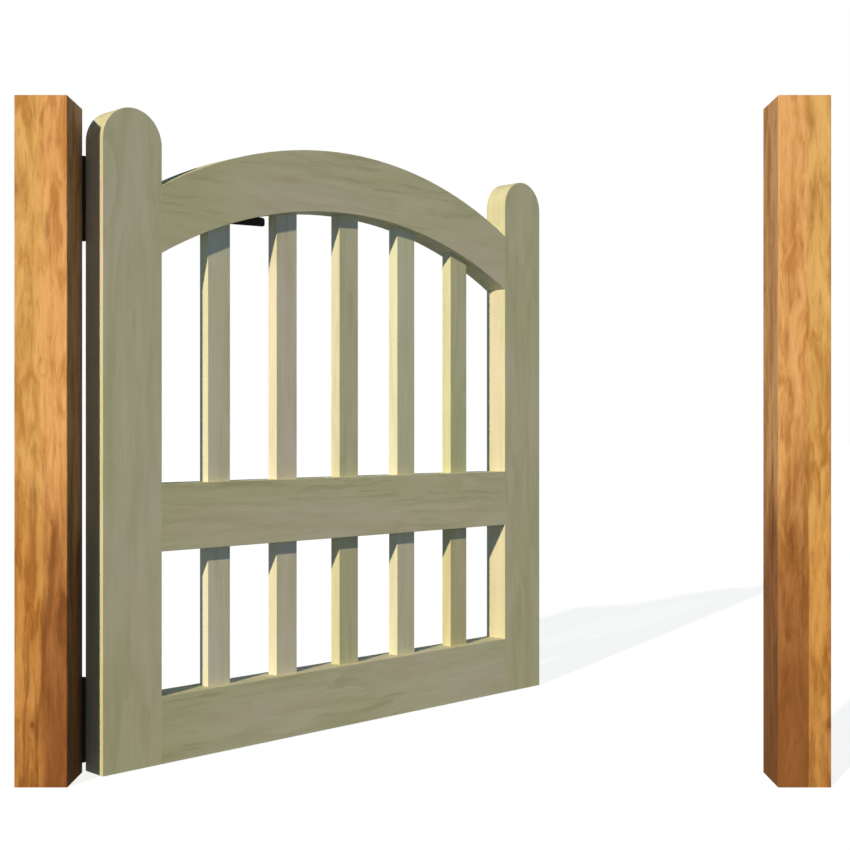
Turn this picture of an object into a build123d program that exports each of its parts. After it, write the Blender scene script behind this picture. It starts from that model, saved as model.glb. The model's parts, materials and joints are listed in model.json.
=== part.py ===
"""Arched garden gate: a mortised timber leaf hung between two posts on a pair of tee hinges.

Millimetres, +Z up. The origin is the centre of the hinge post's foot, +X runs along the
gateway towards the closing post, and the leaf opens towards +Y. The leaf is designed in its
closed position and then turned about the hinge pins to the angle at which it stands.
"""

import os
from math import sqrt

from build123d import *

# ---- posts and gateway ----
POST_WIDTH = 70.0
POST_DEPTH = 79.0
POST_HEIGHT = 913.0
POST_ARRIS = 0.8
GATEWAY = 937.0  # clear width between the posts

# ---- leaf ----
LEAF_WIDTH = 914.0
LEAF_HEIGHT = 914.0
GROUND_GAP = 1.5
HINGE_GAP = 1.5  # between the hinge post and the closed leaf
OPEN_ANGLE = 45.0
MEMBER_WIDTH = 95.0  # seen width of stiles and rails
MEMBER_THICKNESS = 44.0
ARRIS = 0.4
MIDDLE_RAIL_BASE = 300.0  # above the posts' feet
ARCH_APEX = 908.5  # above the posts' feet
ARCH_RISE = 94.0
TENON_THICKNESS = 14.0
TENON_LENGTH = 65.0
TENON_SHOULDER = 16.0  # how far a tenon stays inside its rail's edges
BOTTOM_HAUNCH = 28.0  # keeps the lowest mortise closed at the stile's foot
GLUE_ROOM = 1.0

# ---- pales ----
PALE_COUNT = 5
PALE_WIDTH = 40.0
PALE_THICKNESS = 20.0
PALE_HOUSING = 15.0  # how deep a pale's end sits in its rail

# ---- tee hinges ----
UPPER_HINGE_Z = 790.0
LOWER_HINGE_Z = 71.5
PIN_OFFSET = 3.6  # pin centre behind the timber's back face
PIN_RADIUS = 1.8
PIN_CLEARANCE = 0.05
PIN_HEAD_RADIUS = 2.8
PIN_HEAD_HEIGHT = 1.4
BARREL_RADIUS = 3.5
LEAF_PLATE = 2.2  # thickness of the hinge's steel
PLATE_HEIGHT = 115.0
PLATE_WIDTH = 32.0  # from the pin's centre to the plate's outer edge
PLATE_CORNER = 5.0
STRAP_KNUCKLE = 38.0
KNUCKLE_GAP = 0.5
NOTCH_DEPTH = 5.0  # room in the plate for the strap's knuckle
STRAP_LENGTH = 313.0  # from the pin's centre to the tip
STRAP_SHANK = 16.0  # parallel part beside the knuckle
STRAP_TIP_HALF = 6.5  # half the strap's height at its tip
STRAP_TIP_CORNER = 4.0
# Screw places as (x, z) from the pin's centre and the hinge's middle height.
PLATE_SCREWS = [(-24.0, 48.0), (-14.0, 29.0), (-24.0, 0.0), (-14.0, -29.0), (-24.0, -48.0)]
STRAP_SCREWS = [(24.0, 0.0), (78.0, 0.0), (150.0, 0.0), (222.0, 0.0)]

# ---- screws ----
SCREW_RADIUS = 2.2
SCREW_HOLE_RADIUS = 2.5
SCREW_LENGTH = 32.0  # below the head
SCREW_POINT = 6.0
SCREW_HEAD_RADIUS = 4.6
SCREW_HEAD_HEIGHT = 2.0
RECESS_LENGTH = 5.0
RECESS_WIDTH = 1.1
RECESS_DEPTH = 1.3

# ---- worked out from the above ----
BACK_Y = POST_DEPTH / 2
FRONT_Y = BACK_Y - MEMBER_THICKNESS
MIDDLE_Y = (FRONT_Y + BACK_Y) / 2
LEAF_LEFT = POST_WIDTH / 2 + HINGE_GAP
LEAF_RIGHT = LEAF_LEFT + LEAF_WIDTH
LEAF_BASE = GROUND_GAP
LEAF_TOP = LEAF_BASE + LEAF_HEIGHT
CROWN_BASE = LEAF_TOP - MEMBER_WIDTH / 2
INNER_LEFT = LEAF_LEFT + MEMBER_WIDTH
INNER_RIGHT = LEAF_RIGHT - MEMBER_WIDTH
HALF_SPAN = (INNER_RIGHT - INNER_LEFT) / 2
CENTRE_X = (INNER_LEFT + INNER_RIGHT) / 2
BOTTOM_RAIL_TOP = LEAF_BASE + MEMBER_WIDTH
MIDDLE_RAIL_TOP = MIDDLE_RAIL_BASE + MEMBER_WIDTH
ARCH_RADIUS = (HALF_SPAN**2 + ARCH_RISE**2) / (2 * ARCH_RISE)
ARCH_SPRING = ARCH_APEX - ARCH_RISE  # outer arc at the stiles
ARCH_SOFFIT = ARCH_SPRING - MEMBER_WIDTH  # inner arc at the stiles
PALE_GAP = (2 * HALF_SPAN - PALE_COUNT * PALE_WIDTH) / (PALE_COUNT + 1)
PIN_X = POST_WIDTH / 2 + HINGE_GAP / 2
PIN_Y = BACK_Y + PIN_OFFSET
HINGE_AXIS = Axis((PIN_X, PIN_Y, 0), (0, 0, 1))
BACK_PLANE = Plane(origin=(0, BACK_Y, 0), x_dir=(1, 0, 0), z_dir=(0, -1, 0))


def block(x0, x1, y0, y1, z0, z1):
    """A solid between two corners."""
    centre = Pos((x0 + x1) / 2, (y0 + y1) / 2, (z0 + z1) / 2)
    return centre * Box(x1 - x0, y1 - y0, z1 - z0)


def leaf_block(x0, x1, z0, z1, thickness=MEMBER_THICKNESS):
    """A solid centred in the leaf's thickness."""
    return block(x0, x1, MIDDLE_Y - thickness / 2, MIDDLE_Y + thickness / 2, z0, z1)


def upright_edges(solid, x):
    """The vertical edges of a solid that lie at one x."""
    return [e for e in solid.edges().filter_by(Axis.Z) if abs(e.center().X - x) < 0.01]


# ---- posts ----


def post(centre_x):
    half_width, half_depth = POST_WIDTH / 2, POST_DEPTH / 2
    body = block(
        centre_x - half_width, centre_x + half_width, -half_depth, half_depth, 0, POST_HEIGHT
    )
    top = body.faces().sort_by(Axis.Z)[-1]
    return chamfer(body.edges().filter_by(Axis.Z) + top.edges(), POST_ARRIS)


# ---- leaf timbers ----


def tenon(stile_face, direction, z0, z1, extra=0.0):
    """A rail's tenon, running from a stile's inner face in direction (-1 or 1) along X."""
    end = stile_face + direction * (TENON_LENGTH + extra)
    return leaf_block(min(stile_face, end), max(stile_face, end), z0, z1, TENON_THICKNESS)


def tenon_heights():
    """Lower and upper limit of each rail's tenons: bottom, middle and arched."""
    return [
        (LEAF_BASE + BOTTOM_HAUNCH, BOTTOM_RAIL_TOP - TENON_SHOULDER),
        (MIDDLE_RAIL_BASE + TENON_SHOULDER, MIDDLE_RAIL_TOP - TENON_SHOULDER),
        (ARCH_SOFFIT + TENON_SHOULDER, ARCH_SPRING - TENON_SHOULDER),
    ]


def stopped_arris(x, direction, z0, z1):
    """Triangular strips to take off a stile's two inner arrises between its rails."""
    strips = []
    for y, inward in ((FRONT_Y, 1), (BACK_Y, -1)):
        corner = make_face(
            Polyline(
                (x, y, z0), (x - direction * ARRIS, y, z0), (x, y + inward * ARRIS, z0), close=True
            )
        )
        strips.append(extrude(corner, z1 - z0, dir=(0, 0, 1)))
    return strips


def stile(left, inner_direction):
    """A stile from its left edge; inner_direction points from it to the leaf's middle."""
    right = left + MEMBER_WIDTH
    inner = right if inner_direction > 0 else left
    outer = left if inner_direction > 0 else right
    shank = leaf_block(left, right, LEAF_BASE, CROWN_BASE)
    shank = chamfer(upright_edges(shank, outer), ARRIS)
    for z0, z1 in (
        (BOTTOM_RAIL_TOP, MIDDLE_RAIL_BASE),
        (MIDDLE_RAIL_TOP, ARCH_SOFFIT),
        (ARCH_SPRING, CROWN_BASE),
    ):
        shank -= stopped_arris(inner, inner_direction, z0, z1)
    middle = (left + right) / 2
    half_round = make_face(
        ThreePointArc((right, CROWN_BASE), (middle, LEAF_TOP), (left, CROWN_BASE))
        + Line((left, CROWN_BASE), (right, CROWN_BASE))
    )
    crown = extrude(BACK_PLANE * half_round, MEMBER_THICKNESS)
    crown = chamfer(crown.edges().filter_by(GeomType.CIRCLE), ARRIS)
    timber = shank + crown
    for z0, z1 in tenon_heights():
        timber -= tenon(inner, -inner_direction, z0, z1, GLUE_ROOM)
    return timber


def rail_tenons(z0, z1):
    return tenon(INNER_LEFT, -1, z0, z1) + tenon(INNER_RIGHT, 1, z0, z1)


def straight_rail(base, tenon_range):
    body = leaf_block(INNER_LEFT, INNER_RIGHT, base, base + MEMBER_WIDTH)
    body = chamfer(body.edges().filter_by(Axis.X), ARRIS)
    return body + rail_tenons(*tenon_range)


def arch_height(x, apex):
    """Height of an arc of the arched rail at x."""
    return apex - ARCH_RADIUS + sqrt(ARCH_RADIUS**2 - (x - CENTRE_X) ** 2)


def arched_rail():
    soffit_apex = ARCH_APEX - MEMBER_WIDTH
    outline = (
        ThreePointArc(
            (INNER_LEFT, ARCH_SPRING), (CENTRE_X, ARCH_APEX), (INNER_RIGHT, ARCH_SPRING)
        )
        + Line((INNER_RIGHT, ARCH_SPRING), (INNER_RIGHT, ARCH_SOFFIT))
        + ThreePointArc(
            (INNER_RIGHT, ARCH_SOFFIT), (CENTRE_X, soffit_apex), (INNER_LEFT, ARCH_SOFFIT)
        )
        + Line((INNER_LEFT, ARCH_SOFFIT), (INNER_LEFT, ARCH_SPRING))
    )
    body = extrude(BACK_PLANE * make_face(outline), MEMBER_THICKNESS)
    body = chamfer(body.edges().filter_by(GeomType.CIRCLE), ARRIS)
    return body + rail_tenons(*tenon_heights()[2])


def pale_left(number):
    """Left edge of a pale, counted from 1 at the hinge side."""
    return INNER_LEFT + number * PALE_GAP + (number - 1) * PALE_WIDTH


def pale(number, z0, z1):
    left = pale_left(number)
    body = leaf_block(left, left + PALE_WIDTH, z0, z1, PALE_THICKNESS)
    return chamfer(body.edges().filter_by(Axis.Z), ARRIS)


def upper_pale(number):
    top = arch_height(pale_left(number) + PALE_WIDTH / 2, ARCH_APEX - MEMBER_WIDTH)
    return pale(number, MIDDLE_RAIL_TOP - PALE_HOUSING, top + PALE_HOUSING)


def lower_pale(number):
    return pale(number, BOTTOM_RAIL_TOP - PALE_HOUSING, MIDDLE_RAIL_BASE + PALE_HOUSING)


# ---- tee hinges, drawn with the pin's centre at (PIN_X, PIN_Y) and height z ----


def ring(z0, z1, outer, inner):
    """A tube round the hinge pin."""
    tube = Cylinder(outer, z1 - z0) - Cylinder(inner, z1 - z0)
    return Pos(PIN_X, PIN_Y, (z0 + z1) / 2) * tube


def screw_holes(places, z):
    return [
        Pos(PIN_X + dx, BACK_Y + LEAF_PLATE / 2, z + dz)
        * Rot(90, 0, 0)
        * Cylinder(SCREW_HOLE_RADIUS, 2 * LEAF_PLATE)
        for dx, dz in places
    ]


def hinge_plate(z):
    """The upright half, fixed to the post, with a knuckle above and below the strap's."""
    half = PLATE_HEIGHT / 2
    notch = STRAP_KNUCKLE / 2 + KNUCKLE_GAP
    plate = block(
        PIN_X - PLATE_WIDTH, PIN_X, BACK_Y, BACK_Y + LEAF_PLATE, z - half, z + half
    )
    corners = [
        e
        for e in plate.edges().filter_by(Axis.Y)
        if e.center().X < PIN_X - PLATE_WIDTH + 0.01
    ]
    plate = fillet(corners, PLATE_CORNER)
    room = 2 * BARREL_RADIUS
    plate -= block(PIN_X - NOTCH_DEPTH, PIN_X + 1, BACK_Y - 1, BACK_Y + room, z - notch, z + notch)
    bore = Pos(PIN_X, PIN_Y, z) * Cylinder(PIN_RADIUS, PLATE_HEIGHT + 2)
    for z0, z1 in ((z + notch, z + half), (z - half, z - notch)):
        plate += ring(z0, z1, BARREL_RADIUS, PIN_RADIUS)
    return plate - bore - screw_holes(PLATE_SCREWS, z)


def hinge_strap(z):
    """The long tapering half, fixed to the leaf."""
    root = STRAP_KNUCKLE / 2
    shank_x = PIN_X + STRAP_SHANK
    tip_x = PIN_X + STRAP_LENGTH
    outline = Polyline(
        (PIN_X, z + root),
        (PIN_X, z - root),
        (shank_x, z - root),
        (tip_x, z - STRAP_TIP_HALF),
        (tip_x, z + STRAP_TIP_HALF),
        (shank_x, z + root),
        close=True,
    )
    strap = extrude(BACK_PLANE * make_face(outline), -LEAF_PLATE)
    tip = [e for e in strap.edges().filter_by(Axis.Y) if e.center().X > tip_x - 0.01]
    strap = fillet(tip, STRAP_TIP_CORNER)
    strap += ring(z - root, z + root, BARREL_RADIUS, PIN_RADIUS + PIN_CLEARANCE)
    bore = Pos(PIN_X, PIN_Y, z) * Cylinder(PIN_RADIUS + PIN_CLEARANCE, STRAP_KNUCKLE + 2)
    return strap - bore - screw_holes(STRAP_SCREWS, z)


def hinge_pin(z):
    """A plain pin, headed over at both ends."""
    half = PLATE_HEIGHT / 2
    shank = Cylinder(PIN_RADIUS, PLATE_HEIGHT)
    head = Pos(0, 0, half + PIN_HEAD_HEIGHT / 2) * Cylinder(PIN_HEAD_RADIUS, PIN_HEAD_HEIGHT)
    head = fillet(head.edges().group_by(Axis.Z)[-1], PIN_HEAD_HEIGHT * 0.8)
    foot = Rot(180, 0, 0) * head
    return Pos(PIN_X, PIN_Y, z) * (shank + head + foot)


def screw(dx, z):
    """A round-headed screw driven towards -Y through a hinge plate into the timber."""
    head = Cylinder(SCREW_HEAD_RADIUS, SCREW_HEAD_HEIGHT)
    head = fillet(head.edges().group_by(Axis.Z)[-1], SCREW_HEAD_HEIGHT * 0.85)
    top = SCREW_HEAD_HEIGHT / 2
    for turn in (45, 135):
        head -= (
            Pos(0, 0, top) * Rot(0, 0, turn) * Box(RECESS_LENGTH, RECESS_WIDTH, 2 * RECESS_DEPTH)
        )
    straight = SCREW_LENGTH - SCREW_POINT
    shank = Pos(0, 0, -top - straight / 2) * Cylinder(SCREW_RADIUS, straight)
    point = Pos(0, 0, -top - straight - SCREW_POINT / 2) * Rot(180, 0, 0) * Cone(
        SCREW_RADIUS, 0.3, SCREW_POINT
    )
    seat = BACK_Y + LEAF_PLATE + top
    return Pos(PIN_X + dx, seat, z) * Rot(-90, 0, 0) * (head + shank + point)


def screws(places, z):
    return [screw(dx, z + dz) for dx, dz in places]


# ---- assembly ----


def build():
    """Returns {node: solid or list of solids}, with the leaf turned to where it stands."""
    hinge_heights = {"upper": UPPER_HINGE_Z, "lower": LOWER_HINGE_Z}
    fixed = {
        "hinge_post": post(0),
        "closing_post": post(POST_WIDTH + GATEWAY),
    }
    bottom_tenons, middle_tenons, _ = tenon_heights()
    leaf = {
        "hinge_stile": stile(LEAF_LEFT, 1),
        "closing_stile": stile(LEAF_RIGHT - MEMBER_WIDTH, -1),
        "bottom_rail": straight_rail(LEAF_BASE, bottom_tenons),
        "middle_rail": straight_rail(MIDDLE_RAIL_BASE, middle_tenons),
        "arched_top_rail": arched_rail(),
    }
    for number in range(1, PALE_COUNT + 1):
        upper, lower = upper_pale(number), lower_pale(number)
        leaf["arched_top_rail"] -= upper
        leaf["middle_rail"] -= [upper, lower]
        leaf["bottom_rail"] -= lower
        leaf[f"upper_pale_{number}"] = upper
        leaf[f"lower_pale_{number}"] = lower

    for name, z in hinge_heights.items():
        plate_screws = screws(PLATE_SCREWS, z)
        strap_screws = screws(STRAP_SCREWS, z)
        fixed["hinge_post"] -= plate_screws
        rail = "arched_top_rail" if name == "upper" else "bottom_rail"
        for timber in ("hinge_stile", rail):
            leaf[timber] -= strap_screws
        fixed[f"{name}_hinge_plate"] = hinge_plate(z)
        fixed[f"{name}_hinge_pin"] = hinge_pin(z)
        fixed[f"{name}_hinge_plate_screws"] = plate_screws
        leaf[f"{name}_hinge_strap"] = hinge_strap(z)
        leaf[f"{name}_hinge_strap_screws"] = strap_screws

    for name, shape in leaf.items():
        several = shape if isinstance(shape, list) else [shape]
        turned = [solid.rotate(HINGE_AXIS, OPEN_ANGLE) for solid in several]
        fixed[name] = turned if len(turned) > 1 else turned[0]
    return fixed


def write(nodes, folder="parts"):
    os.makedirs(folder, exist_ok=True)
    for name, shape in nodes.items():
        solids = shape if isinstance(shape, list) else [shape]
        made = [s for part in solids for s in part.solids()]
        export_step(Compound(children=made), os.path.join(folder, f"{name}.step"))


write(build())
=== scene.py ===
"""Looks of the arched garden gate: stained softwood leaf, golden hardwood posts, black tee hinges.

Metres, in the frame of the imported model: +X along the gateway, +Y out of the back, +Z up.
The leaf stands open, so its timber is textured in axes of its own, turned with the leaf.
"""

import json
import math
from collections import namedtuple

import bpy
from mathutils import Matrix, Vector


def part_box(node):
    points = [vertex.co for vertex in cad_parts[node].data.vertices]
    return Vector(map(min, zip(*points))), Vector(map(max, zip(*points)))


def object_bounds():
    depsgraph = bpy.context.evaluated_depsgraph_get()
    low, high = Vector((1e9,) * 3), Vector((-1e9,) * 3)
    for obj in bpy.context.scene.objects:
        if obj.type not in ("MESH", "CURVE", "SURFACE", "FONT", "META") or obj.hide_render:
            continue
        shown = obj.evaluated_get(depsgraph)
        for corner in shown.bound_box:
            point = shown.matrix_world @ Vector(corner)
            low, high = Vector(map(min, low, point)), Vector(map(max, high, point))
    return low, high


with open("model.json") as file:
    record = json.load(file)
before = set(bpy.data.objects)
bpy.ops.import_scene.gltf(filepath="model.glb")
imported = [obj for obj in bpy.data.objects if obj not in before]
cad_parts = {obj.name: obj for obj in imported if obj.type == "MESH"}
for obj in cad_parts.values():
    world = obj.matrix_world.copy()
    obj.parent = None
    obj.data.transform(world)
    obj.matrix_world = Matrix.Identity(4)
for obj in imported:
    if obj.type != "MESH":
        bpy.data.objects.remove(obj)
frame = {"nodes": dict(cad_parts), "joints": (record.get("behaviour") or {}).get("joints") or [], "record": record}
cad_low, cad_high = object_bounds()

NODES = frame["nodes"]
LEAF_ANGLE = -math.radians(frame["joints"][0]["range_deg"][0])  # the leaf is closed at its lower limit

# ---- colours, as linear reflectances ----
SAGE_LIGHT = (0.716, 0.725, 0.557)
SAGE_MIDDLE = (0.653, 0.659, 0.485)
SAGE_DARK = (0.552, 0.543, 0.354)
SAGE_STROKE = (0.439, 0.420, 0.265)
SAGE_OLIVE = (0.594, 0.618, 0.393)
SAGE_PINK = (0.700, 0.650, 0.528)
# multiplier that makes one end of each leaf board darker and yellower
SAGE_LOW_END_CAST = (0.95, 0.95, 0.86)
GOLD_PALE = (0.690, 0.425, 0.183)
GOLD = (0.600, 0.350, 0.137)
GOLD_STREAK = (0.460, 0.228, 0.068)
DEEP_PALE = (0.600, 0.335, 0.105)
DEEP = (0.525, 0.272, 0.073)
DEEP_STREAK = (0.340, 0.145, 0.030)
RED_PALE = (0.420, 0.202, 0.078)
RED = (0.318, 0.138, 0.047)
RED_STREAK = (0.188, 0.071, 0.019)
KNOT_HEART = (0.190, 0.058, 0.012)
BLUSH_CAST = (1.02, 0.97, 1.02)
OLIVE_CAST = (0.97, 1.01, 0.93)
BLACK = (0.010, 0.010, 0.011)
BLACK_WORN = (0.035, 0.033, 0.031)

# Each board's own tone; the lift on pales 1 and 2, upper and lower, is painted light for the extra light their
# fronts catch.
BOARD_TINTS_AND_PAINTED_LIGHT = {
    "upper_pale_1": (1.10, 1.11, 1.20),
    "upper_pale_2": (1.15, 1.09, 1.27),
    "upper_pale_3": (1.02, 1.03, 1.07),
    "upper_pale_4": (1.06, 1.11, 1.15),
    "upper_pale_5": (0.98, 1.01, 0.94),
    "lower_pale_1": (1.13, 1.12, 1.28),
    "lower_pale_2": (1.11, 1.08, 1.20),
    "lower_pale_3": (0.97, 0.97, 0.93),
    "lower_pale_4": (1.05, 1.07, 1.10),
    "lower_pale_5": (0.97, 0.93, 0.84),
}
POST_TINTS = {"hinge_post": (1.00, 0.94, 0.87), "closing_post": (0.99, 0.98, 0.96)}

# ---- figure and finish of the materials ----
RING_SCALE = 30.0  # of the softwood's growth rings
FOOT_SHADE_TOP = 0.34  # height where the hardwood starts to redden towards its foot
TURN_DRIFT = 0.36  # how far patches move the heights where the hardwood changes colour
EYE_RING_SPACING = 0.0075  # of the ripples round the hardwood's eye
EYE_REACH = (0.004, 0.013)  # where the ripples start to fade, and where they end
STREAK_HALF_WIDTHS = (0.0012, 0.0060)  # of its dark middle, and of its faded edge
KNOT_DEPTH_WEIGHT = 0.4  # a knot runs into the post, so its depth counts less than its width
KNOT_CORE = (0.3, 1.0)  # where the heart starts to fade and ends, in knot sizes
KNOT_HALO = (0.6, 2.8)  # the same for the darker grain round it
DARK_KNOT = 0.6  # knots stronger than this are dark and sharp, and the others are stains in the grain
SHARP_EDGE = 0.002  # a red edge as soft as this or softer wanders with the grain
SOFTWOOD_RELIEF = 0.00008
HARDWOOD_RELIEF = 0.00010
COAT_RELIEF = 0.00004
SOFTWOOD_SPECULAR = 0.30
HARDWOOD_SPECULAR = 0.14
COAT_SPECULAR = 0.40
RAIL_FIGURE = 0.46  # strength of the wavy strokes on rails
UPRIGHT_FIGURE = 0.20  # and on stiles and pales
CRISP_ANGLE = math.radians(30)

# ---- light: a warm low key, a fill that travels forward to the back faces, and a cool sky ----
SUN_AZIMUTH = math.radians(29)  # to the left of straight ahead, from behind the camera
SUN_ELEVATION = math.radians(25)
SUN_COLOUR = (1.0, 0.825, 0.540)
SUN_STRENGTH = 4.07
SUN_SOFTNESS = math.radians(1.5)
BACK_DIRECTION = (0.0, -1.0, -0.03)
BACK_COLOUR = (0.98, 0.98, 0.95)
BACK_STRENGTH = 1.1
BACK_SOFTNESS = math.radians(25)
SKY_STOPS = [  # from straight below (0) through the horizon (0.5) to overhead (1)
    (0.44, (0.156, 0.165, 0.148)),
    (0.50, (0.199, 0.304, 0.452)),
    (1.00, (0.008, 0.012, 0.018)),
]
BACKDROP_COLOUR = (1.0, 1.0, 1.0)
FLOOR_COLOUR = (0.225, 0.25, 0.4)
FLOOR_GLOW = (0.88, 0.88, 0.84)
FLOOR_SIZE = 60.0

# ---- camera ----
CAMERA_RIGHT = 0.003  # of the gateway's middle
CAMERA_HEIGHT = 0.4778
CAMERA_DISTANCE = 1.7818  # in front of the posts' front faces
LENS = 57.26
SENSOR = 36.0


# A knot on the front face: its place, its radius, what its height counts for, and how strong it is.
Knot = namedtuple("Knot", "x z size squeeze strength")


def fill_stops(ramp, stops):
    """Gives a colour ramp its stops, each a place and a colour."""
    while len(ramp.elements) < len(stops):
        ramp.elements.new(0.5)
    for element, (place, colour) in zip(ramp.elements, stops):
        element.position = place
        element.color = (*colour, 1.0)


class Shading:
    """Short ways to add and join the nodes of one material."""

    def __init__(self, name):
        self.material = bpy.data.materials.new(name)
        self.material.use_nodes = True
        self.tree = self.material.node_tree
        self.surface = self.tree.nodes["Principled BSDF"]

    def node(self, kind, inputs=None, **settings):
        made = self.tree.nodes.new(kind)
        for key, value in settings.items():
            setattr(made, key, value)
        for key, value in (inputs or {}).items():
            self.feed(made.inputs[key], value)
        return made

    def feed(self, socket, value):
        if isinstance(value, bpy.types.NodeSocket):
            self.tree.links.new(value, socket)
        elif isinstance(value, tuple) and socket.type == "RGBA":
            socket.default_value = (*value, 1.0)
        else:
            socket.default_value = value

    def maths(self, operation, a, b=0.0):
        return self.node("ShaderNodeMath", {0: a, 1: b}, operation=operation).outputs[0]

    def product(self, first, *others):
        """Multiplies numbers and sockets."""
        result = first
        for other in others:
            result = self.maths("MULTIPLY", result, other)
        return result

    def stretch(self, vector, across, along):
        """Scales wood coordinates: across the grain, and along it."""
        scale = (across, across, along)
        return self.node("ShaderNodeVectorMath", {0: vector, 1: scale}, operation="MULTIPLY").outputs[0]

    def shift(self, vector, offset):
        """Adds an offset, a tuple or a socket, to a vector."""
        return self.node("ShaderNodeVectorMath", {0: vector, 1: offset}, operation="ADD").outputs[0]

    def noise(self, vector, detail=2.0, roughness=0.5, distortion=0.0, output=0):
        inputs = {
            "Vector": vector,
            "Scale": 1.0,
            "Detail": detail,
            "Roughness": roughness,
            "Distortion": distortion,
        }
        return self.node("ShaderNodeTexNoise", inputs).outputs[output]

    def warp(self, vector, noise_vector, amount):
        """Moves a vector by up to half of amount each way, as a noise says."""
        drift = self.shift(self.noise(noise_vector, 2.0, output=1), (-0.5, -0.5, -0.5))
        moved = self.node("ShaderNodeVectorMath", {0: drift, "Scale": amount}, operation="SCALE").outputs[0]
        return self.shift(vector, moved)

    def band(self, value, low, high, to_low=0.0, to_high=1.0):
        """A smooth step of a value."""
        inputs = {0: value, 1: low, 2: high, 3: to_low, 4: to_high}
        return self.node("ShaderNodeMapRange", inputs, interpolation_type="SMOOTHSTEP").outputs[0]

    def ramp(self, value, stops):
        made = self.node("ShaderNodeValToRGB", {0: value})
        fill_stops(made.color_ramp, stops)
        return made.outputs[0]

    def mix(self, factor, a, b, blend="MIX"):
        made = self.node("ShaderNodeMix", {0: factor, 6: a, 7: b}, data_type="RGBA", blend_type=blend)
        return made.outputs[2]

    def finish(self, colour, roughness, height, depth, specular):
        """Joins colour, roughness and a bump of the given depth in metres to the surface."""
        bump = self.node("ShaderNodeBump", {"Strength": 1.0, "Distance": depth, "Height": height})
        self.feed(self.surface.inputs["Base Color"], colour)
        self.feed(self.surface.inputs["Roughness"], roughness)
        self.feed(self.surface.inputs["Normal"], bump.outputs[0])
        self.surface.inputs["Specular IOR Level"].default_value = specular
        return self.material


def wood_coordinates(shading, node, angle, grain):
    """Coordinates about a board's centre, in its own axes at angle, with the grain along Z.

    grain is the board's own X or Z, whichever its length follows.
    """
    low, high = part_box(node)
    place = shading.node("ShaderNodeTexCoord").outputs["Object"]
    own = shading.node(
        "ShaderNodeMapping",
        {"Vector": place, "Location": (low + high) / 2, "Rotation": (0, 0, angle)},
        vector_type="TEXTURE",
    ).outputs[0]
    if grain == "Z":
        return own
    turn = {"Vector": own, "Rotation": (0, -math.pi / 2, 0)}
    return shading.node("ShaderNodeMapping", turn, vector_type="POINT").outputs[0]


def fibre_shade(shading, colour, fibres, pores, darkest, lightest, pore_depth):
    """Shades a wood colour by its fine fibres, and darkens its pores by pore_depth."""
    shade = shading.band(fibres, 0.25, 0.75, darkest, lightest)
    shade = shading.product(shade, shading.maths("SUBTRACT", 1.0, shading.product(pores, pore_depth)))
    grey = shading.node("ShaderNodeCombineColor", {0: shade, 1: shade, 2: shade}).outputs[0]
    return shading.mix(1.0, colour, grey, "MULTIPLY")


def sage_softwood(node, grain, seed, tint, figured):
    """Pale sage stain on planed softwood: faint flat-sawn rings, soft streaks and slow changes of hue.

    figured is the strength of its wavy strokes. Each seed gives a board a place of its own in the grain.
    """
    shading = Shading("sage_softwood." + node)
    wood = wood_coordinates(shading, node, LEAF_ANGLE, grain)
    field = shading.shift(wood, (seed * 1.37, seed * 0.71, seed * 2.13))

    pith = (0.030 * math.sin(seed * 2.4), -0.085 + 0.02 * math.cos(seed * 1.7), 0.0)
    rings_place = shading.warp(shading.shift(wood, pith), shading.stretch(field, 9, 2.4), 0.075)
    rings_place = shading.warp(rings_place, shading.stretch(field, 45, 10), 0.006)
    rings = shading.node(
        "ShaderNodeTexWave",
        {"Vector": rings_place, "Scale": RING_SCALE, "Distortion": 0.0},
        wave_type="RINGS",
        rings_direction="Z",
        wave_profile="SAW",
    ).outputs["Fac"]
    latewood = shading.band(rings, 0.40, 1.0)
    strength = shading.band(shading.noise(shading.stretch(field, 16, 4), 3.0), 0.42, 0.70)
    latewood = shading.product(latewood, strength)

    fibres = shading.noise(shading.stretch(field, 380, 12), 3.0, 0.6)
    streaks_place = shading.warp(shading.stretch(field, 48, 5), shading.stretch(field, 22, 7), 1.3)
    streaks = shading.noise(streaks_place, 4.0, 0.55, 0.3)
    hue = shading.noise(shading.stretch(shading.shift(field, (5, 5, 5)), 13, 3.0), 2.0)
    pores = shading.band(shading.noise(shading.stretch(field, 1100, 60), 1.0), 0.68, 0.80)
    waves_place = shading.warp(shading.stretch(field, 130, 6.5), shading.stretch(field, 26, 9), 2.4)
    waves = shading.band(shading.noise(waves_place, 3.0, 0.6), 0.53, 0.66)
    waves = shading.product(waves, shading.band(hue, 0.40, 0.56, 1.0, 0.25))
    # darker and yellower towards one end of each board: the foot of an upright, one end of a rail
    toward_low_end = shading.band(shading.node("ShaderNodeSeparateXYZ", {0: wood}).outputs[2], -0.10, -0.42)

    colour = shading.ramp(streaks, [(0.32, SAGE_DARK), (0.48, SAGE_MIDDLE), (0.68, SAGE_LIGHT)])
    cast = shading.ramp(hue, [(0.38, SAGE_OLIVE), (0.50, SAGE_MIDDLE), (0.62, SAGE_PINK)])
    colour = shading.mix(0.5, colour, cast)
    colour = shading.mix(shading.product(latewood, 0.60), colour, SAGE_DARK)
    colour = shading.mix(shading.product(waves, figured), colour, SAGE_STROKE)
    # the board's tint: its own tone, and on pales 1 and 2 painted light
    colour = shading.mix(1.0, colour, tint, "MULTIPLY")
    colour = shading.mix(toward_low_end, colour, shading.mix(1.0, colour, SAGE_LOW_END_CAST, "MULTIPLY"))
    colour = fibre_shade(shading, colour, fibres, pores, 0.97, 1.025, 0.08)

    height = shading.maths("ADD", shading.product(fibres, 0.35), shading.product(latewood, 0.5))
    height = shading.maths("SUBTRACT", height, shading.product(pores, 0.5))
    roughness = shading.band(fibres, 0.2, 0.8, 0.66, 0.54)
    return shading.finish(colour, roughness, height, SOFTWOOD_RELIEF, SOFTWOOD_SPECULAR)


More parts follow.
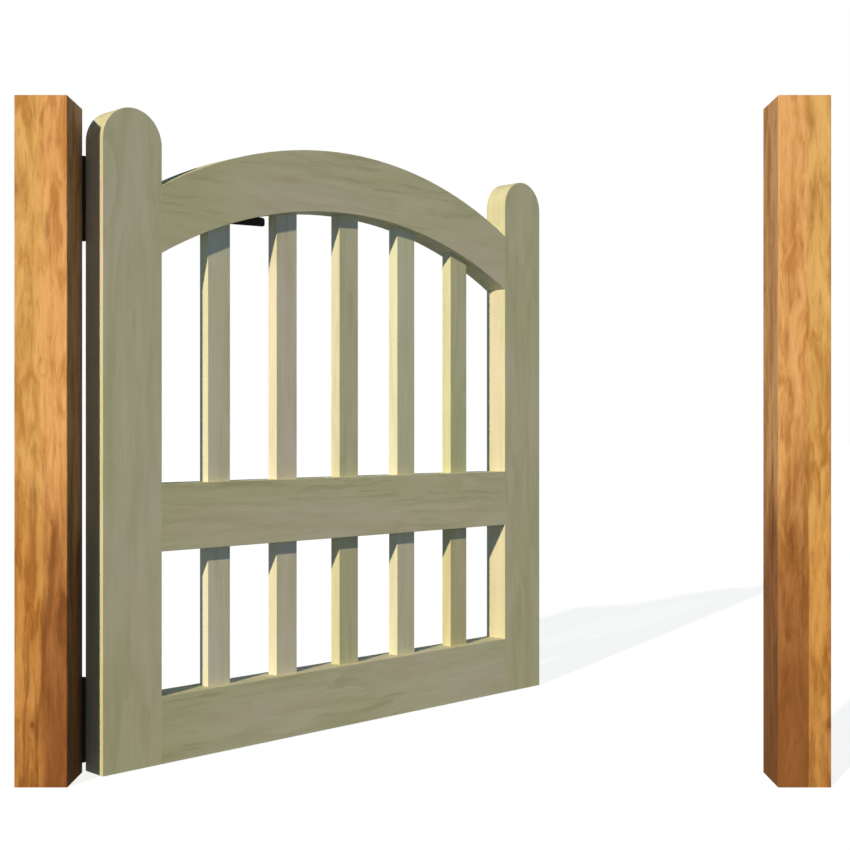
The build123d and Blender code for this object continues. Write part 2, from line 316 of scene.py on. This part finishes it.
def knot_distance(shading, place, knot, weights):
    """Distance of a place from a knot, with each axis counted by its weight."""
    offset = shading.shift(place, tuple(-value for value in knot))
    counted = shading.node("ShaderNodeVectorMath", {0: offset, 1: weights}, operation="MULTIPLY").outputs[0]
    return shading.node("ShaderNodeVectorMath", {0: counted}, operation="LENGTH").outputs["Value"]


def ripple_eye(shading, figure, drifted, eye_x, eye_z):
    """Adds the rings of an eye in the grain to a figure."""
    distance = knot_distance(shading, drifted, (eye_x, 0.0, eye_z), (1.0, 0.0, 0.5))
    ripple = shading.maths("SINE", shading.product(distance, 2 * math.pi / EYE_RING_SPACING))
    reach = shading.band(distance, *EYE_REACH, 0.06, 0.0)
    return shading.maths("ADD", figure, shading.product(ripple, reach))


def mark_streak(shading, colour, x, z, lower_end, upper_end):
    """Draws a dark streak between two (x, z) ends, soft at both."""
    (low_x, low_z), (high_x, high_z) = lower_end, upper_end
    slope = (high_x - low_x) / (high_z - low_z)
    along = shading.product(shading.maths("SUBTRACT", z, low_z), slope)
    across = shading.maths("SUBTRACT", shading.maths("SUBTRACT", x, low_x), along)
    near = shading.band(shading.maths("ABSOLUTE", across), *STREAK_HALF_WIDTHS, 0.62, 0.0)
    start = shading.band(z, low_z - 0.05, low_z + 0.02)
    end = shading.band(z, high_z + 0.02, high_z - 0.05)
    return shading.mix(shading.product(near, start, end), colour, RED_STREAK)


def mark_knot(shading, colour, wood, drifted, knot, centre):
    """Draws one knot about its centre: a heart in a halo of darker grain."""
    dark = knot.strength > DARK_KNOT
    heart = KNOT_HEART if dark else DEEP_STREAK
    weights = (1.0, KNOT_DEPTH_WEIGHT, knot.squeeze)
    reach = knot_distance(shading, wood if dark else drifted, centre, weights)
    halo_start, halo_end = (part * knot.size for part in KNOT_HALO)
    core_start, core_end = (part * knot.size for part in KNOT_CORE)
    halo = shading.band(reach, halo_start, halo_end, 0.6 * knot.strength, 0.0)
    core = shading.band(reach, core_start, core_end, knot.strength, 0.0)
    return shading.mix(core, shading.mix(halo, colour, RED_STREAK), heart)


def golden_hardwood(node, seed, tint, turn, red_edge, red_side, red_softness, knots, eye=None, streak=None):
    """Oiled golden hardwood with a mottled figure.

    It goes deeper in colour between the two heights in turn, and redder below them on the side of
    red_edge that red_side says: 1 for +X, -1 for -X. eye is the place of a ringed eye in the grain,
    and streak is the lower and upper end of a dark streak, all as (x, z).
    """
    low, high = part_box(node)
    middle = (low + high) / 2
    shading = Shading("golden_hardwood." + node)
    wood = wood_coordinates(shading, node, 0.0, "Z")
    field = shading.shift(wood, (seed * 1.9, seed * 0.83, seed * 3.1))
    split = shading.node("ShaderNodeSeparateXYZ", {0: wood})
    x, z = split.outputs[0], split.outputs[2]
    drifted = shading.warp(wood, shading.stretch(field, 30, 12), 0.014)
    wandering_x = shading.node("ShaderNodeSeparateXYZ", {0: drifted}).outputs[0]

    figure_place = shading.warp(shading.stretch(field, 62, 11), shading.stretch(field, 42, 13), 1.4)
    figure = shading.noise(figure_place, 5.0, 0.60, 0.5)
    clouds = shading.noise(shading.stretch(shading.shift(field, (3, 1, 7)), 26, 7), 2.0, 0.5, 0.6)
    figure = shading.maths("ADD", shading.product(figure, 0.68), shading.product(clouds, 0.32))
    strokes_place = shading.warp(shading.stretch(field, 180, 24), shading.stretch(field, 60, 24), 0.9)
    strokes = shading.noise(strokes_place, 2.0, 0.5)
    dark_strokes = shading.band(strokes, 0.56, 0.74)
    light_strokes = shading.band(strokes, 0.42, 0.28)
    long_place = shading.warp(shading.stretch(field, 105, 5), shading.stretch(field, 40, 14), 0.9)
    long_streaks = shading.band(shading.noise(long_place, 3.0, 0.55), 0.52, 0.66)
    fibres = shading.noise(shading.stretch(field, 420, 26), 3.0, 0.6)
    pores = shading.band(shading.noise(shading.stretch(field, 800, 60), 1.0), 0.66, 0.78)
    if eye:
        figure = ripple_eye(shading, figure, drifted, eye[0], eye[1] - middle.z)

    golden = shading.ramp(figure, [(0.40, GOLD_STREAK), (0.49, GOLD), (0.57, GOLD_PALE)])
    deep = shading.ramp(figure, [(0.39, DEEP_STREAK), (0.49, DEEP), (0.60, DEEP_PALE)])
    reddish = shading.ramp(figure, [(0.36, RED_STREAK), (0.49, RED), (0.64, RED_PALE)])
    patches = shading.noise(shading.stretch(field, 30, 6), 3.0, 0.5)
    level = shading.maths("ADD", z, shading.product(shading.maths("SUBTRACT", patches, 0.5), TURN_DRIFT))
    below = shading.band(level, turn[0] - middle.z, turn[1] - middle.z)
    foot = shading.band(level, FOOT_SHADE_TOP - middle.z, -middle.z)
    edge_x = x if red_softness < SHARP_EDGE else wandering_x
    aside = shading.product(shading.maths("SUBTRACT", edge_x, red_edge), red_side)
    redder = shading.band(aside, -red_softness, red_softness)
    above = shading.maths("SUBTRACT", 1.0, below)
    colour = shading.mix(below, golden, deep)
    colour = shading.mix(shading.product(foot, 0.50), colour, reddish)
    colour = shading.mix(shading.product(redder, below), colour, reddish)
    colour = shading.mix(shading.product(redder, below, foot, 0.66), colour, RED_STREAK)
    colour = shading.mix(shading.product(long_streaks, below, 0.62), colour, RED_STREAK)
    colour = shading.mix(shading.product(long_streaks, above, 0.25), colour, DEEP_STREAK)
    colour = shading.mix(shading.product(dark_strokes, 0.42), colour, RED)
    colour = shading.mix(shading.product(light_strokes, above, 0.40), colour, GOLD_PALE)
    colour = shading.mix(above, colour, shading.mix(redder, OLIVE_CAST, BLUSH_CAST), "MULTIPLY")
    if streak:
        lower_end, upper_end = [(end_x, end_z - middle.z) for end_x, end_z in streak]
        colour = mark_streak(shading, colour, wandering_x, z, lower_end, upper_end)
    for knot in knots:
        centre = (knot.x, low.y - middle.y, knot.z - middle.z)
        colour = mark_knot(shading, colour, wood, drifted, knot, centre)
    colour = shading.mix(1.0, colour, tint, "MULTIPLY")

    colour = fibre_shade(shading, colour, fibres, pores, 0.94, 1.05, 0.15)

    height = shading.maths("SUBTRACT", shading.product(fibres, 0.5), shading.product(pores, 0.7))
    roughness = shading.band(figure, 0.35, 0.65, 0.62, 0.52)
    return shading.finish(colour, roughness, height, HARDWOOD_RELIEF, HARDWOOD_SPECULAR)


def black_steel(name, roughness_low, roughness_high):
    """Black powder coat: fine orange peel, with the coat a little thin in places."""
    shading = Shading(name)
    place = shading.node("ShaderNodeTexCoord").outputs["Object"]
    peel = shading.noise(shading.stretch(place, 1500, 1500), 2.0)
    cloud = shading.noise(shading.stretch(place, 60, 60), 4.0, 0.6)
    worn = shading.band(cloud, 0.60, 0.78, 0.0, 0.7)
    colour = shading.mix(worn, BLACK, BLACK_WORN)
    roughness = shading.band(cloud, 0.3, 0.7, roughness_low, roughness_high)
    return shading.finish(colour, roughness, peel, COAT_RELIEF, COAT_SPECULAR)


def coat(node, material):
    for slot in NODES[node].material_slots:
        slot.material = material


def coat_leaf():
    for seed, node in enumerate(sorted(frame["record"]["behaviour"]["bodies"]["leaf"])):
        if "hinge_strap" not in node:
            grain = "X" if node.endswith("rail") else "Z"
            figured = RAIL_FIGURE if grain == "X" else UPRIGHT_FIGURE
            coat(node, sage_softwood(node, grain, seed, BOARD_TINTS_AND_PAINTED_LIGHT.get(node, (1.0, 1.0, 1.0)), figured))


def coat_posts():
    left = golden_hardwood(
        "hinge_post",
        seed=8.0,
        tint=POST_TINTS["hinge_post"],
        turn=(0.45, 0.20),
        red_edge=0.004,
        red_side=1.0,
        red_softness=0.008,
        knots=[
            Knot(x=-0.011, z=0.082, size=0.0040, squeeze=0.7, strength=0.80),
            Knot(x=0.0106, z=0.735, size=0.0030, squeeze=0.22, strength=0.45),
            Knot(x=-0.032, z=0.792, size=0.0040, squeeze=0.4, strength=0.55),
            Knot(x=-0.0094, z=0.383, size=0.0045, squeeze=0.30, strength=0.55),
        ],
        eye=(0.0015, 0.554),
        streak=((0.0015, 0.115), (0.0190, 0.366)),
    )
    right = golden_hardwood(
        "closing_post",
        seed=11.0,
        tint=POST_TINTS["closing_post"],
        turn=(0.53, 0.24),
        red_edge=0.0053,
        red_side=-1.0,
        red_softness=0.0005,
        knots=[
            Knot(x=0.0330, z=0.082, size=0.0040, squeeze=0.7, strength=0.80),
            Knot(x=0.0115, z=0.877, size=0.0035, squeeze=0.3, strength=0.45),
            Knot(x=0.0093, z=0.783, size=0.0032, squeeze=0.22, strength=0.50),
            Knot(x=0.0080, z=0.750, size=0.0032, squeeze=0.3, strength=0.40),
        ],
    )
    coat("hinge_post", left)
    coat("closing_post", right)


def coat_hinges():
    steel = black_steel("black_steel", 0.42, 0.58)
    screw_steel = black_steel("black_screw_steel", 0.30, 0.45)
    for node in NODES:
        if node.endswith("screws"):
            coat(node, screw_steel)
        elif "_hinge_" in node:
            coat(node, steel)


def add_sun(name, direction, colour, strength, softness, glossy=True):
    data = bpy.data.lights.new(name, "SUN")
    data.color = colour
    data.energy = strength
    data.angle = softness
    sun = bpy.data.objects.new(name, data)
    sun.rotation_mode = "QUATERNION"
    sun.rotation_quaternion = Vector(direction).to_track_quat("-Z", "Y")
    sun.visible_glossy = glossy
    bpy.context.scene.collection.objects.link(sun)


def add_sky():
    """Cool soft light from around the horizon, warmer and weaker from below, and a white backdrop."""
    world = bpy.data.worlds.new("studio")
    bpy.context.scene.world = world
    world.use_nodes = True
    tree = world.node_tree
    direction = tree.nodes.new("ShaderNodeTexCoord")
    split = tree.nodes.new("ShaderNodeSeparateXYZ")
    height = tree.nodes.new("ShaderNodeMapRange")
    height.inputs["From Min"].default_value = -1.0
    tone = tree.nodes.new("ShaderNodeValToRGB")
    fill_stops(tone.color_ramp, SKY_STOPS)
    tree.links.new(direction.outputs["Generated"], split.inputs[0])
    tree.links.new(split.outputs["Z"], height.inputs["Value"])
    tree.links.new(height.outputs["Result"], tone.inputs[0])
    sky = tree.nodes["Background"]
    tree.links.new(tone.outputs[0], sky.inputs[0])
    backdrop = tree.nodes.new("ShaderNodeBackground")
    backdrop.inputs[0].default_value = (*BACKDROP_COLOUR, 1.0)
    path = tree.nodes.new("ShaderNodeLightPath")
    choice = tree.nodes.new("ShaderNodeMixShader")
    tree.links.new(path.outputs["Is Camera Ray"], choice.inputs[0])
    tree.links.new(sky.outputs[0], choice.inputs[1])
    tree.links.new(backdrop.outputs[0], choice.inputs[2])
    tree.links.new(choice.outputs[0], tree.nodes["World Output"].inputs[0])


def add_floor():
    """A pale floor at the posts' feet, which throws no light back on the gate."""
    half = FLOOR_SIZE / 2
    sides = [(-half, -half), (half, -half), (half, half), (-half, half)]
    corners = [(x, y, cad_low.z) for x, y in sides]
    mesh = bpy.data.meshes.new("floor")
    mesh.from_pydata(corners, [], [(0, 1, 2, 3)])
    floor = bpy.data.objects.new("floor", mesh)
    bpy.context.scene.collection.objects.link(floor)
    shading = Shading("floor")
    shading.surface.inputs["Base Color"].default_value = (*FLOOR_COLOUR, 1.0)
    shading.surface.inputs["Roughness"].default_value = 0.9
    shading.surface.inputs["Specular IOR Level"].default_value = 0.1
    shading.surface.inputs["Emission Color"].default_value = (*FLOOR_GLOW, 1.0)
    shading.surface.inputs["Emission Strength"].default_value = 1.0
    floor.data.materials.append(shading.material)
    floor.visible_diffuse = False
    floor.visible_glossy = False


def add_camera():
    """Straight ahead along +Y, almost in the gateway's middle, at about half the gate's height."""
    hinge_post, closing_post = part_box("hinge_post"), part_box("closing_post")
    gateway_middle = (hinge_post[1].x + closing_post[0].x) / 2
    data = bpy.data.cameras.new("camera")
    data.sensor_width = SENSOR
    data.lens = LENS
    camera = bpy.data.objects.new("camera", data)
    camera.location = (gateway_middle + CAMERA_RIGHT, hinge_post[0].y - CAMERA_DISTANCE, CAMERA_HEIGHT)
    camera.rotation_euler = (math.pi / 2, 0, 0)
    bpy.context.scene.collection.objects.link(camera)
    bpy.context.scene.camera = camera


def shade_smoothly():
    """Smooths the curved faces and keeps the sawn corners crisp."""
    for node in NODES.values():
        node.data.shade_smooth()
        split = node.modifiers.new("crisp corners", "EDGE_SPLIT")
        split.split_angle = CRISP_ANGLE


coat_leaf()
coat_posts()
coat_hinges()
shade_smoothly()
sun_direction = (
    math.sin(SUN_AZIMUTH) * math.cos(SUN_ELEVATION),
    math.cos(SUN_AZIMUTH) * math.cos(SUN_ELEVATION),
    -math.sin(SUN_ELEVATION),
)
add_sun("key", sun_direction, SUN_COLOUR, SUN_STRENGTH, SUN_SOFTNESS)
add_sun("back fill", BACK_DIRECTION, BACK_COLOUR, BACK_STRENGTH, BACK_SOFTNESS, glossy=False)
add_sky()
add_floor()
add_camera()
bpy.context.scene.view_settings.view_transform = "Standard"
